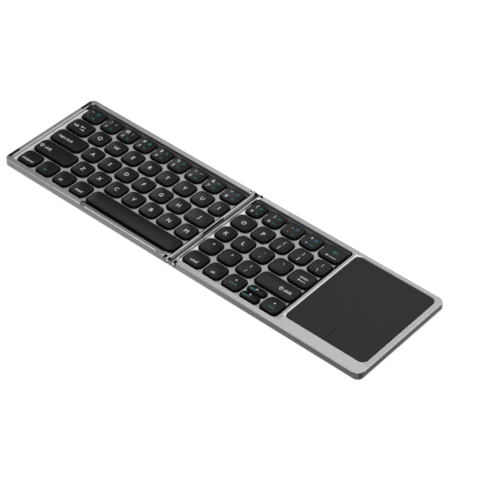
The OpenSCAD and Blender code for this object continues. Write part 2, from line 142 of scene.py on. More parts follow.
world = bpy.data.worlds.new("studio")
bpy.context.scene.world = world
world.use_nodes = True
sky = world.node_tree.nodes["Background"]
sky.inputs["Color"].default_value = (1, 1, 1, 1)
path = add_node(world, "ShaderNodeLightPath")
glow = add_node(world, "ShaderNodeMapRange")
glow.inputs["To Min"].default_value = sky_light
glow.inputs["To Max"].default_value = sky_seen
world.node_tree.links.new(path.outputs["Is Camera Ray"], glow.inputs["Value"])
world.node_tree.links.new(glow.outputs["Result"], sky.inputs["Strength"])


def soft_lamp(name, place, width, height, watts):
    """A broad lamp that shines at the middle of the keyboard."""
    lamp = bpy.data.lights.new(name, "AREA")
    lamp.shape = "RECTANGLE"
    lamp.size = width
    lamp.size_y = height
    lamp.energy = watts
    holder = bpy.data.objects.new(name, lamp)
    holder.location = place
    holder.rotation_euler = (-Vector(place)).to_track_quat("-Z", "Y").to_euler()
    bpy.context.scene.collection.objects.link(holder)


soft_lamp("lamp_over_front", (0.3, -0.6, 1.6), width=1.3, height=1.3, watts=18)
soft_lamp("lamp_back_left", (-0.33, 0.80, 0.93), width=0.8, height=0.5, watts=2.6)
soft_lamp("lamp_back_right", (1.1, 0.9, 0.8), width=1.0, height=0.7, watts=1.2)


# Finishes of the metal
# The case is blasted and anodised aluminium: a fine even grain, satin on top, and bright where a
# cutter has gone round the edges after anodising. Its darker upright sides, end faces, back
# walls, scoop floor and pockets are painted shade, and the near white faces at the hinge painted
# light.
noise_low = 0.3
noise_high = 0.7


def grained(name, colour, roughness, grain_mm, tinting, bump, detail, uneven, relief_mm):
    """A finish with one fine noise in its colour, its roughness and its relief."""
    made = bpy.data.materials.new(name)
    made.use_nodes = True
    shader = made.node_tree.nodes["Principled BSDF"]
    place = add_node(made, "ShaderNodeTexCoord")
    noise = add_node(made, "ShaderNodeTexNoise", Scale=1 / (grain_mm * MM), Detail=detail)
    spread = add_node(made, "ShaderNodeMapRange")
    spread.inputs["From Min"].default_value = noise_low
    spread.inputs["From Max"].default_value = noise_high
    spread.inputs["To Min"].default_value = roughness - uneven
    spread.inputs["To Max"].default_value = roughness + uneven
    tint = add_node(made, "ShaderNodeMix", data_type="RGBA")
    darker = [c * (1 - tinting) for c in colour]
    lighter = [min(1, c * (1 + tinting)) for c in colour]
    tint.inputs["A"].default_value = (*darker, 1)
    tint.inputs["B"].default_value = (*lighter, 1)
    relief = add_node(made, "ShaderNodeBump", Strength=bump, Distance=relief_mm * MM)
    links = made.node_tree.links
    links.new(place.outputs["Object"], noise.inputs["Vector"])
    links.new(noise.outputs["Fac"], spread.inputs["Value"])
    links.new(spread.outputs["Result"], shader.inputs["Roughness"])
    links.new(noise.outputs["Fac"], tint.inputs["Factor"])
    links.new(tint.outputs["Result"], shader.inputs["Base Color"])
    links.new(noise.outputs["Fac"], relief.inputs["Height"])
    links.new(relief.outputs["Normal"], shader.inputs["Normal"])
    return made


def metal(name, colour, roughness, grain_mm, tinting, bump):
    made = grained(
        name, colour, roughness, grain_mm, tinting, bump,
        detail=3.0, uneven=0.05, relief_mm=0.02)
    made.node_tree.nodes["Principled BSDF"].inputs["Metallic"].default_value = 1.0
    return made


satin = {
    half: metal("satin_aluminium_" + half, (0.42, 0.424, 0.43), 0.40, 0.12, 0.06, 0.25)
    for half in ("left", "right")}
# The scoop's floor is darker than the top: painted shade.
scoop_painted_shade = metal("scoop_aluminium", (0.26, 0.263, 0.268), 0.40, 0.12, 0.06, 0.25)
# The upright outer sides are darker than the top: painted shade.
side_painted_shade = metal("side_aluminium", (0.20, 0.202, 0.208), 0.24, 0.12, 0.06, 0.15)
bright_cut = metal("bright_cut_aluminium", (0.92, 0.925, 0.935), 0.24, 0.3, 0.02, 0.05)
wall_grey = metal("recess_wall_aluminium", (0.45, 0.455, 0.465), 0.22, 0.12, 0.05, 0.1)
# The back walls of the recesses are darker than the other walls: painted shade.
back_wall_painted_shade = metal("back_wall_aluminium", (0.30, 0.303, 0.308), 0.3, 0.12, 0.05, 0.1)
# The end faces are nearly black: painted shade.
end_painted_shade = metal("end_aluminium", (0.034, 0.0345, 0.0355), 0.24, 0.12, 0.06, 0.1)
# The pockets and notches at the hinge are black: painted shade.
pocket_painted_shade = metal("pocket_painted_shade", (0.008, 0.008, 0.009), 0.5, 0.12, 0.06, 0.1)
outer_cut = metal("edge_aluminium", (0.95, 0.955, 0.965), 0.32, 0.2, 0.03, 0.05)
# The faces at the hinge are near white: painted light.
hinge_painted_light_and_shade = metal("hinge_face_aluminium", (0.93, 0.932, 0.935), 0.6, 0.12, 0.03, 0.2)


# Case frames
# Each half is one milled aluminium frame, with a satin top, sides darkened by painted shade and
# bright chamfers. It has painted highlights beside the hinge, along the touchpad and on the
# scoop's lip, and painted shade along its rims and sides, place by place.
def patch(material, colour, soft_mm, **ranges):
    """Turns a metal another colour, with soft edges, inside a box given by its ranges."""
    shader = material.node_tree.nodes["Principled BSDF"]
    under = shader.inputs["Base Color"].links[0].from_socket
    place = add_node(material, "ShaderNodeTexCoord")
    split = add_node(material, "ShaderNodeSeparateXYZ")
    links = material.node_tree.links
    links.new(place.outputs["Object"], split.inputs[0])
    inside = None
    for axis, (low, high) in ranges.items():
        for edge, way in ((low, 1), (high, -1)):
            ramp = add_node(material, "ShaderNodeMapRange", interpolation_type="SMOOTHSTEP")
            ramp.inputs["From Min"].default_value = edge - way * soft_mm * MM / 2
            ramp.inputs["From Max"].default_value = edge + way * soft_mm * MM / 2
            links.new(split.outputs[axis], ramp.inputs["Value"])
            if inside:
                both = add_node(material, "ShaderNodeMath", operation="MULTIPLY")
                links.new(inside, both.inputs[0])
                links.new(ramp.outputs["Result"], both.inputs[1])
                inside = both.outputs[0]
            else:
                inside = ramp.outputs["Result"]
    mix = add_node(material, "ShaderNodeMix", data_type="RGBA")
    mix.inputs["B"].default_value = (*colour, 1)
    links.new(inside, mix.inputs["Factor"])
    links.new(under, mix.inputs["A"])
    links.new(mix.outputs["Result"], shader.inputs["Base Color"])


# The colours laid on the case below are painted light and shade: bright is a painted highlight
# wherever it is laid on.
bright = (0.95, 0.955, 0.965)
painted_shade_black = (0.012, 0.012, 0.0125)
rim_painted_shade = (0.32, 0.323, 0.328)
pad_rim_painted_shade = (0.36, 0.363, 0.368)
front_painted_highlight = (0.8, 0.808, 0.816)
back_corner_painted_shade = (0.25, 0.253, 0.258)
front_corner_painted_shade = (0.1, 0.101, 0.103)
front_shade = (0.09, 0.091, 0.094)
low_hinge_painted_shade = (0.16, 0.162, 0.166)
far = 1
case_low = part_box("left_frame")[0]
case_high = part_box("right_frame")[1]
deck_low, deck_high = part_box("left_key_plate")
pad_low, pad_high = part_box("touchpad")
deck_y = (deck_low.y, deck_high.y)
pad_y = (pad_low.y, pad_high.y)

# The strips beside the hinge in painted highlight, with a painted shade black line by the left
# deck
strip_w = 3.6 * MM
strip_bright_w = 2.0 * MM
patch(satin["left"], bright, 0.3, X=(-strip_w, 0), Y=deck_y)
for finish in (satin["left"], bright_cut):
    patch(finish, painted_shade_black, 0.2, X=(-strip_w, -strip_bright_w), Y=deck_y)

# The right half's rims and rib in painted shade, the rib's edge and hinge strip in painted
# highlight
rim_shade_x = 30 * MM
rib_w = 4 * MM
rib_edge = 1.0 * MM
patch(satin["right"], rim_painted_shade, 1, X=(rim_shade_x, pad_low.x), Y=(deck_high.y, far))
patch(satin["right"], pad_rim_painted_shade, 1, X=(pad_low.x, far), Y=(pad_low.y, far))
patch(satin["right"], rim_painted_shade, 1, X=(pad_low.x - rib_w, pad_low.x), Y=deck_y)
patch(satin["right"], bright, 0.3, X=(pad_low.x - rib_edge, pad_low.x), Y=pad_y)
patch(satin["right"], bright, 0.3, X=(0, strip_w), Y=deck_y)

# The left half's front edge and scoop lip in painted highlight, the scoop floor in painted shade
scoop_x = (-114 * MM, -9 * MM)
front_edge = 0.8 * MM
scoop_lip = 1.0 * MM
scoop_back = 0.7 * MM
patch(satin["left"], front_painted_highlight, 0.3, X=(-far, 0), Y=(-far, case_low.y + front_edge))
patch(satin["left"], bright, 0.3, X=scoop_x, Y=(-far, case_low.y + scoop_lip))
patch(scoop_painted_shade, painted_shade_black, 0.5, X=(-far, 0), Y=(deck_low.y - scoop_back, 0))

# Two corners dimmed by painted shade, and the front side, darker to the right by painted shade
back_corner = 9 * MM
front_corner = 5 * MM
front_shade_x = 40 * MM
patch(
    bright_cut, back_corner_painted_shade, 1,
    X=(-far, case_low.x + back_corner), Y=(case_high.y - back_corner, far))
patch(side_painted_shade, front_shade, 150, X=(front_shade_x, far), Y=(-far, 0))
for finish in (outer_cut, bright_cut):
    patch(
        finish, front_corner_painted_shade, 1,
        X=(case_high.x - front_corner, far), Y=(-far, case_low.y + front_corner))

# The hinge end faces in painted light, with painted shade low down and a painted dark slot of
# shade where the ribbon cable goes through
hinge_shade_top = 2.4 * MM
painted_slot_y = (-11 * MM, 11 * MM)
painted_slot_z = (4.0 * MM, 5.45 * MM)
patch(hinge_painted_light_and_shade, low_hinge_painted_shade, 1.0, X=(-far, far), Z=(-far, hinge_shade_top))
patch(hinge_painted_light_and_shade, painted_shade_black, 0.3, Y=painted_slot_y, Z=painted_slot_z)

join_distance = 0.001 * MM
flat_angle = math.radians(0.5)
sharp_angle = math.radians(25)
edge_angle = math.radians(40)


def merged_copy(name, node):
    """A copy of a CAD node's mesh with its loose triangles joined into faces."""
    bm = bmesh.new()
    bm.from_mesh(nodes[node].data)
    bmesh.ops.remove_doubles(bm, verts=bm.verts, dist=join_distance)
    bmesh.ops.dissolve_limit(bm, angle_limit=flat_angle, verts=bm.verts, edges=bm.edges)
    mesh = bpy.data.meshes.new(name)
    bm.to_mesh(mesh)
    bm.free()
    mesh.shade_smooth()
    mesh.set_sharp_from_angle(angle=sharp_angle)
    return new_object(name, mesh)


def soften_edges(piece, width_mm, finish=-1):
    """Rounds a piece's edges, in the finish of that number or in the one beside each edge."""
    bevel = piece.modifiers.new("soft_edges", "BEVEL")
    bevel.width = width_mm * MM
    bevel.segments = 2
    bevel.limit_method = "ANGLE"
    bevel.angle_limit = edge_angle
    bevel.material = finish
    bevel.harden_normals = True
    return bevel


TOP, SIDE, CUT, WALL, BACK_WALL, END, POCKET, OUTER_CUT, HINGE_FACE, SCOOP = range(10)
frame_finishes = (
    side_painted_shade, bright_cut, wall_grey, back_wall_painted_shade, end_painted_shade, pocket_painted_shade, outer_cut, hinge_painted_light_and_shade,
    scoop_painted_shade)
case_corner = 4.5 * MM
link_reach = 6.2 * MM
link_depth = 2.5 * MM
hinge_reach = 3 * MM
pad_wall_x = 80 * MM
margin = 0.05 * MM
edge_w = 0.6 * MM
for half in ("left", "right"):
    node = half + "_frame"
    shell = merged_copy("case_" + half, node)
    low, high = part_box(node)
    for finish in (satin[half], *frame_finishes):
        shell.data.materials.append(finish)
    # Faces are sorted by place and by the way they face. The upright outer sides, the end faces,
    # the back walls, the scoop and the pockets take painted shade; the faces at the hinge, and
    # the touchpad hole's wall that faces right, take painted light.
    for face in shell.data.polygons:
        x, y, z = face.center
        from_end = x - low.x if half == "left" else high.x - x
        from_side = min(y - low.y, high.y - y)
        past_corner_x = abs(x) - max(-low.x, high.x) + case_corner
        past_corner_y = abs(y) - high.y + case_corner
        upright = abs(face.normal.z) < 0.3
        faces_up = face.normal.z > 0.9
        leans_up = face.normal.z > 0.25
        not_level = face.normal.z < 0.98
        faces_an_end = abs(face.normal.x) > 0.75
        at_end = from_end < margin
        at_corner = past_corner_x > 0 and past_corner_y > 0 and upright
        outer = at_end or at_corner or from_side < margin
        in_pocket = abs(x) < link_reach and abs(y) > high.y - link_depth and not outer
        if faces_up and not in_pocket:
            face.material_index = TOP if z > high.z - margin or half == "right" else SCOOP
        elif in_pocket and not_level:
            face.material_index = POCKET
        elif abs(x) < hinge_reach:
            face.material_index = HINGE_FACE
        elif leans_up:
            face.material_index = OUTER_CUT if min(from_end, from_side) < edge_w else CUT
        elif at_end or at_corner and faces_an_end:
            face.material_index = END
        elif outer:
            face.material_index = SIDE
        elif face.normal.y < -0.7:
            face.material_index = BACK_WALL
        elif face.normal.x > 0.7 and x > pad_wall_x:
            face.material_index = CUT
        else:
            face.material_index = WALL
    soften_edges(shell, width_mm=0.12, finish=CUT)
    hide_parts(node)
    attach(shell, half + "_half")


# Key decks
# The metal between the keys is plain silver with a fine speckle, a shade darker on the right
# half:
# painted shade. Its open strip along the left edge is a painted highlight. It is black along the
# back, behind the number keys, with painted shade at its right end and before the space bar.
# The right deck's darker silver is painted shade.
deck_grey = {"left": (0.50, 0.505, 0.513), "right": (0.46, 0.464, 0.472)}
band_black = (0.03, 0.03, 0.031)
band_grey = (0.14, 0.14, 0.143)
bright_strip = 3 * MM
black_band = 6.8 * MM
grey_band = 2 * MM
dark_strip = {"left": 1.5 * MM, "right": 2.8 * MM}
space_bar_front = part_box("space_bar")[0].y
for half in ("left", "right"):
    deck = nodes[half + "_key_plate"]
    low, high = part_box(half + "_key_plate")
    finish = metal(half + "_deck_aluminium", deck_grey[half], 0.55, 0.7, 0.10, 0.3)
    # A painted highlight on the open left strip, black at the back, and painted shade at the
    # right end and before the space bar.
    patch(finish, bright, 2, X=(-far, low.x + bright_strip))
    patch(finish, band_black, 1.5, Y=(high.y - black_band, far))
    patch(finish, band_grey, 3, Y=(high.y - grey_band, far))
    patch(finish, painted_shade_black, 0.6, X=(high.x - dark_strip[half], far))
    if half == "left":
        patch(finish, painted_shade_black, 0.5, X=scoop_x, Y=(-far, space_bar_front))
    deck.data.materials.clear()
    deck.data.materials.append(finish)


# Keycaps
# Each key is a moulded black cap with a big corner radius, sides that lean in, a rounded top
# edge and a shallow dish that a fingertip falls into.
def plastic(name, colour, roughness, gloss, grain_mm, bump):
    made = grained(
        name, colour, roughness, grain_mm, tinting=0.15, bump=bump,
        detail=2.0, uneven=0.04, relief_mm=0.01)
    shader = made.node_tree.nodes["Principled BSDF"]
    shader.inputs["Specular IOR Level"].default_value = gloss
    return made


def islands(node):
    """The boxes of the separate solids in a CAD node, row by row from the back left."""
    bm = bmesh.new()
    bm.from_mesh(nodes[node].data)
    bmesh.ops.remove_doubles(bm, verts=bm.verts, dist=join_distance)
    waiting = set(bm.verts)
    boxes = []
    while waiting:
        group = {waiting.pop()}
        reached = list(group)
        while reached:
            vert = reached.pop()
            for edge in vert.link_edges:
                other = edge.other_vert(vert)
                if other not in group:
                    group.add(other)
                    reached.append(other)
        waiting -= group
        lows = Vector([min(v.co[i] for v in group) for i in range(3)])
        highs = Vector([max(v.co[i] for v in group) for i in range(3)])
        boxes.append((lows, highs))
    bm.free()
    boxes.sort(key=lambda b: (-round((b[0].y + b[1].y) / (4 * MM)), b[0].x))
    return boxes


key_black = {
    half: plastic("key_black_" + half, (0.005, 0.0051, 0.0055), 0.28, gloss, 0.15, 0.15)
    for half, gloss in (("left", 0.25), ("right", 0.15))}
# The caps' sides are a darker, duller black than their tops: painted shade.
key_side_painted_shade = plastic("key_side_painted_shade", (0.002, 0.002, 0.0022), 0.5, 0.12, 0.15, 0.15)
cap_corner = 4.6 * MM
least_flat = 0.1 * MM
cap_lean = 0.4 * MM
cap_edge = 0.45 * MM
cap_wall = 0.8 * MM
cap_roof = 0.9 * MM
dish_drop = 0.5 * MM
dish_cuts = [0.45 * MM, 1.0 * MM, 1.7 * MM, 2.6 * MM, 3.8 * MM, 5.2 * MM]
dish_cut_limit = 0.9
level = 0.999
cut_distance = 1e-7
cap_sharp_angle = math.radians(50)
CAP_SIDE = 1


def corner_radius(size):
    return min(cap_corner, size.y / 2 - least_flat)


def top_face(verts):
    return max({f for v in verts for f in v.link_faces}, key=lambda f: f.calc_center_median().z)


def keycap(bm, low, high):
    """Adds the cap that fills a box: rounded block, leaning sides, hollow, soft edge and dish."""
    size = high - low
    middle = (low + high) / 2
    made = bmesh.ops.create_cube(
        bm, size=1,
        matrix=Matrix.Translation(middle) @ Matrix.Diagonal((*size, 1)))["verts"]
    uprights = [
        e for e in {e for v in made for e in v.link_edges}
        if abs(e.verts[0].co.z - e.verts[1].co.z) > size.z / 2
    ]
    rounded = bmesh.ops.bevel(
        bm, geom=uprights, offset=corner_radius(size), segments=8, profile=0.5,
        affect="EDGES", material=-1)
    verts = {v for f in rounded["faces"] for v in f.verts}
    top = top_face(verts)
    bottom = min(
        {f for v in verts for f in v.link_faces}, key=lambda f: f.calc_center_median().z)
    for vert in top.verts:
        flat = vert.co - middle
        vert.co.x = middle.x + flat.x * (1 - 2 * cap_lean / size.x)
        vert.co.y = middle.y + flat.y * (1 - 2 * cap_lean / size.y)
    bmesh.ops.inset_region(bm, faces=[bottom], thickness=cap_wall, depth=0)
    under = bmesh.ops.extrude_face_region(bm, geom=[bottom])
    bmesh.ops.translate(
        bm, verts=[g for g in under["geom"] if isinstance(g, bmesh.types.BMVert)],
        vec=(0, 0, size.z - cap_roof))
    bmesh.ops.delete(bm, geom=[bottom], context="FACES_ONLY")
    edged = bmesh.ops.bevel(
        bm, geom=list(top.edges), offset=cap_edge, segments=4, profile=0.5, affect="EDGES",
        material=-1)
    plate = top_face({v for f in edged["faces"] for v in f.verts})
    reach = Vector((size.x / 2 - cap_lean - cap_edge, size.y / 2 - cap_lean - cap_edge))
    short = min(reach)
    region = [plate, *plate.edges, *plate.verts]
    for axis in range(2):
        steps = [s for s in dish_cuts if s < dish_cut_limit * reach[axis]]
        places = [reach[axis] - s for s in steps] + [s - reach[axis] for s in steps] + [0]
        for place in places:
            at = middle.copy()
            at[axis] += place
            across = Vector((axis == 0, axis == 1, 0))
            region = bmesh.ops.bisect_plane(
                bm, geom=region, dist=cut_distance, plane_co=at, plane_no=across)["geom"]
    border = {
        v for v in region if isinstance(v, bmesh.types.BMVert)
        and any(f.normal.z < level for f in v.link_faces)
    }
    for vert in region:
        if not isinstance(vert, bmesh.types.BMVert) or vert in border:
            continue
        dip = 1
        for axis in range(2):
            inwards = min(1, (reach[axis] - abs(vert.co[axis] - middle[axis])) / short)
            dip *= 1 - (1 - inwards) ** 2
        vert.co.z -= dish_drop * dip


bodies = frame["record"]["behaviour"]["bodies"]
key_nodes = sorted(body for body in bodies if body in bodies[body] and body != "touchpad")
cap_surface = {}
key_boxes = {}
for node in key_nodes:
    bm = bmesh.new()
    key_boxes[node] = islands(node)
    for low, high in key_boxes[node]:
        keycap(bm, low, high)
    bmesh.ops.recalc_face_normals(bm, faces=bm.faces)
    cap_surface[node] = BVHTree.FromBMesh(bm)
    mesh = bpy.data.meshes.new(node + "_cap")
    bm.to_mesh(mesh)
    bm.free()
    mesh.shade_smooth()
    mesh.set_sharp_from_angle(angle=cap_sharp_angle)
    half = "left" if key_boxes[node][0][0].x < 0 else "right"
    mesh.materials.append(key_black[half])
    mesh.materials.append(key_side_painted_shade)
    # Every face that doesn't face up takes the sides' painted shade.
    for face in mesh.polygons:
        faces_up = face.normal.z >= 0.9
        if not faces_up:
            face.material_index = CAP_SIDE
    cap = new_object(node + "_cap", mesh)
    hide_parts(node)
    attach(cap, node)


# Key wells
# Each key stands in a hole of the deck. A thin black film round the hole, set a little to the
# left, is painted shade: the dark gap line round every key.
well_painted_shade = plastic("well_painted_shade", (0.004, 0.004, 0.0044), 0.5, 0.2, 0.2, 0.1)
shade_ring_w = 0.5 * MM
well_reach = 0.75 * MM
well_shift = 0.15 * MM
well_t = 0.03 * MM
for half in ("left", "right"):
    deck_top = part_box(half + "_key_plate")[1].z
    bm = bmesh.new()
    for node in key_nodes:
        for low, high in key_boxes[node]:
            if (low.x < 0) != (half == "left"):
                continue
            size = high - low
            across = (size.x + 2 * well_reach, size.y + 2 * well_reach)
            middle = Vector(((low.x + high.x) / 2 - well_shift, (low.y + high.y) / 2, deck_top))
            made = bmesh.ops.create_grid(
                bm, x_segments=1, y_segments=1, size=0.5,
                matrix=Matrix.Translation(middle) @ Matrix.Diagonal((*across, 1, 1)))["verts"]
            rounded = bmesh.ops.bevel(
                bm, geom=made, offset=corner_radius(size) + well_reach, segments=8, profile=0.5,
                affect="VERTICES", material=-1)
            plate = max(
                {f for v in rounded["verts"] for f in v.link_faces}, key=lambda f: f.calc_area())
            bmesh.ops.inset_individual(bm, faces=[plate], thickness=shade_ring_w, depth=0)
            bmesh.ops.delete(bm, geom=[plate], context="FACES_ONLY")
    lips = bmesh.ops.extrude_face_region(bm, geom=list(bm.faces))
    bmesh.ops.translate(
        bm, verts=[g for g in lips["geom"] if isinstance(g, bmesh.types.BMVert)],
        vec=(0, 0, well_t))
    bmesh.ops.recalc_face_normals(bm, faces=bm.faces)
    mesh = bpy.data.meshes.new("key_gap_painted_shade_" + half)
    bm.to_mesh(mesh)
    bm.free()
    mesh.materials.append(well_painted_shade)
    wells = new_object("key_gap_painted_shade_" + half, mesh)
    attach(wells, half + "_half")


# Key legends
# Letters, digits and small signs are printed on the caps in light grey, teal and blue, as thin
# films that follow the dish. Places and sizes are in millimetres, from the middle of a key, and a
# name that starts with a star is a drawn sign.
legend_grey = plastic("legend_grey", (0.82, 0.82, 0.82), 0.6, 0.3, 0.2, 0.1)
legend_teal = plastic("legend_teal", (0.02, 0.25, 0.23), 0.6, 0.3, 0.2, 0.1)
legend_blue = plastic("legend_blue", (0.03, 0.20, 0.36), 0.6, 0.3, 0.2, 0.1)
legend_dim = plastic("legend_dim", (0.20, 0.20, 0.20), 0.6, 0.3, 0.2, 0.1)
GREY, TEAL, BLUE, DIM = range(4)
film_t = 0.02
capital_share = 0.73
stroke_w = 0.36
barb = 0.9
ring_sides = 8
sun_rays = 8
join_mm = 0.0005
prints = {node: [] for node in key_nodes}


def say(node, key, words, x, y, size=3.2, ink=GREY):
    prints[node].append((key, words, x, y, size, ink))


for letter in "abcdefghijklmnopqrstuvwxyz":
    say("key_" + letter, 0, letter.upper(), 0, 0, 3.5)

node = "number_keys_left"
say(node, 0, "~", -4.1, 2.7, 2.6)
say(node, 0, "`", -4.3, -3.2, 2.6)
say(node, 0, "*ring", 1.3, 2.7, 2.6, TEAL)
say(node, 0, "esc", 1.0, -3.2, 2.0, TEAL)
signs = ("*sun", "*sun", "*panes", "*lens", "*ring", "*back", "*play", "*next")
inks = (DIM, DIM, TEAL, TEAL, TEAL, DIM, TEAL, BLUE)
for i in range(8):
    aside = 0.8 if i == 7 else 0
    say(node, i + 1, "!@#$%^&*"[i], -3.2, 3.0, 2.8)
    say(node, i + 1, "12345678"[i], -3.3, -2.9, 2.9)
    say(node, i + 1, signs[i], 1.7 + aside, 2.9, 2.4, inks[i])
    say(node, i + 1, "F" + str(i + 1), 1.9 + aside, -3.3, 1.7, BLUE if i == 7 else TEAL)

node = "number_keys_right"
signs = ("*quiet", "*loud", "*ring", "*spot")
for i in range(4):
    say(node, i, "()_+"[i], -2.0, 2.7 if i != 2 else 1.9, 3.0)
    say(node, i, "90-="[i], -2.3, -3.3, 2.9 if i < 2 else 2.2)
    say(node, i, signs[i], 2.0, 2.4, 2.4, TEAL if i < 2 else BLUE)
    say(node, i, "F" + str(i + 9), 2.3, -3.6, 1.7, TEAL)

node = "punctuation_keys"
for i, (under, over) in enumerate(("[{", "]}", "\\|", ";:", "'\"", ",<", ".>", "/?")):
    tall = 3.0 if under in "[]\\;/" else 1.0
    say(node, i, under, 0, -3.1, tall)
    say(node, i, over, 0.2, 2.6, 2.6)

say("backspace_key", 0, "*long_left", 0.8, -3.6, 8.6)
say("backspace_key", 0, "del", 0.3, 2.2, 2.4, TEAL)
say("tab_key", 0, "tab", -4.4, 0, 2.5)
say("tab_key", 0, "*left", 1.5, 1.1, 3.8)
say("tab_key", 0, "*right", 2.5, -1.8, 3.8)
say("caps_lock_key", 0, "caps lock", -3.4, -0.3, 2.7)
say("left_shift_key", 0, "*up", -14.0, -0.4, 3.0)
say("left_shift_key", 0, "shift", -7.8, -0.3, 2.7)
say("right_shift_key", 0, "*up", 2.9, -0.1, 3.0)
say("right_shift_key", 0, "shift", 8.6, -0.1, 2.7)
say("enter_key", 0, "enter", 1.0, 0.9, 2.3)
say("enter_key", 0, "*long_left", 1.2, -2.4, 6.3)

node = "left_bottom_row"
say(node, 0, "control", -0.4, -2.5, 2.6)
say(node, 1, "fn", -0.8, -2.1, 2.5, TEAL)
say(node, 2, "alt", -1.2, -2.4, 2.5)
say(node, 3, "cmd", 0, -2.4, 2.8)

node = "right_bottom_row"
say(node, 1, "cmd", 0, -2.35, 2.8)
say(node, 2, "alt", -0.3, -2.4, 2.5)
for key, tip, tip_x, tip_y, word, word_x, word_y in (
    (0, "*tip_up", -0.7, 0.75, "pgup", -3.0, -0.7),
    (3, "*tip_left", -0.3, 2.15, "home", 0.2, -1.5),
    (4, "*tip_right", -0.2, 2.15, "end", -0.1, -1.9),
    (5, "*tip_down", -0.85, 1.5, "pgdn", -2.8, -0.6),
):
    say(node, key, tip, tip_x, tip_y, 1.7)
    say(node, key, word, word_x, word_y, 2.0, TEAL)


def bar(bm, x0, y0, x1, y1):
    start, end = Vector((x0, y0, 0)), Vector((x1, y1, 0))
    along = end - start
    bmesh.ops.create_cube(bm, size=1, matrix=(
        Matrix.Translation((start + end) / 2)
        @ Matrix.Rotation(math.atan2(along.y, along.x), 4, "Z")
        @ Matrix.Diagonal((along.length, stroke_w, 2 * film_t, 1))))


def disc(bm, x, y, radius, sides=16, turn=0):
    bmesh.ops.create_cone(
        bm, cap_ends=True, segments=sides, radius1=radius, radius2=radius, depth=2 * film_t,
        matrix=Matrix.Translation((x, y, 0)) @ Matrix.Rotation(math.radians(turn), 4, "Z"))


def add_all(bm, made):
    """Puts everything in one bmesh into another, and frees it."""
    temporary = bpy.data.meshes.new("temporary")
    made.to_mesh(temporary)
    made.free()
    bm.from_mesh(temporary)
    bpy.data.meshes.remove(temporary)


def arrow(bm, reach, turn):
    made = bmesh.new()
    bar(made, -reach, 0, reach, 0)
    for side in (-1, 1):
        bar(made, reach, 0, reach - barb, side * barb)
    made.transform(Matrix.Rotation(math.radians(turn), 4, "Z"))
    add_all(bm, made)


def ring(bm, x, y, radius):
    for i in range(ring_sides):
        a, b = (math.tau * (i + k) / ring_sides for k in (0, 1))
        bar(bm, x + radius * math.cos(a), y + radius * math.sin(a),
            x + radius * math.cos(b), y + radius * math.sin(b))


def sign(bm, name, size):
    r = size / 2
    if name == "*spot":
        ring(bm, 0, 0, r)
        disc(bm, 0, 0, r / 3)
    elif name == "*ring":
        ring(bm, 0, 0, r)
    elif name == "*sun":
        disc(bm, 0, 0, r * 0.45)
        for i in range(sun_rays):
            a = math.tau * i / sun_rays
            bar(bm, 0.7 * r * math.cos(a), 0.7 * r * math.sin(a),
                1.1 * r * math.cos(a), 1.1 * r * math.sin(a))
    elif name == "*lens":
        ring(bm, -0.2 * r, 0.2 * r, 0.7 * r)
        bar(bm, 0.3 * r, -0.3 * r, r, -r)
    elif name == "*panes":
        for x in (-0.55 * r, 0.55 * r):
            for y in (-0.8 * r, 0.8 * r):
                bar(bm, x - 0.4 * r, y, x + 0.4 * r, y)
            for side in (-0.4 * r, 0.4 * r):
                bar(bm, x + side, -0.8 * r, x + side, 0.8 * r)
    elif name in ("*back", "*next", "*play"):
        turn = 180 if name == "*back" else 0
        way = -1 if name == "*back" else 1
        disc(bm, -0.6 * r * way, 0, 0.8 * r, sides=3, turn=turn)
        if name == "*play":
            bar(bm, 0.5 * r, -0.7 * r, 0.5 * r, 0.7 * r)
            bar(bm, 1.1 * r, -0.7 * r, 1.1 * r, 0.7 * r)
        else:
            disc(bm, 0.6 * r * way, 0, 0.8 * r, sides=3, turn=turn)
    elif name in ("*quiet", "*loud"):
        disc(bm, -0.5 * r, 0, 0.8 * r, sides=3, turn=180)
        bar(bm, 0.6 * r, -0.5 * r, 0.6 * r, 0.5 * r)
        if name == "*loud":
            bar(bm, 1.2 * r, -0.8 * r, 1.2 * r, 0.8 * r)
    elif name.startswith("*tip"):
        turns = {"*tip_up": 90, "*tip_left": 180, "*tip_right": 0, "*tip_down": 270}
        disc(bm, 0, 0, r, sides=3, turn=turns[name])
    elif name == "*up":
        shaft = 0.45 * r
        outline = (
            (-r, 0), (0, r), (r, 0), (shaft, 0), (shaft, -r), (-shaft, -r), (-shaft, 0))
        for i, corner in enumerate(outline):
            bar(bm, *outline[i - 1], *corner)
    else:
        turns = {"*left": 180, "*right": 0, "*long_left": 180}
        arrow(bm, r, turns[name])


def lettering(bm, words, height):
    em = height / capital_share
    curve = bpy.data.curves.new("words", "FONT")
    curve.body = words
    curve.size = 1
    curve.offset = -0.002
    curve.resolution_u = 2
    curve.extrude = film_t / em
    holder = new_object("words", curve)
    bpy.context.view_layer.update()
    shown = holder.evaluated_get(bpy.context.evaluated_depsgraph_get())
    flat = bpy.data.meshes.new_from_object(shown)
    bpy.data.objects.remove(holder)
    bpy.data.curves.remove(curve)
    flat.transform(Matrix.Scale(em, 4))
    xs = [v.co.x for v in flat.vertices]
    ys = [v.co.y for v in flat.vertices]
    middle = Vector((-(min(xs) + max(xs)) / 2, -(min(ys) + max(ys)) / 2, 0))
    flat.transform(Matrix.Translation(middle))
    bm.from_mesh(flat)
    bpy.data.meshes.remove(flat)


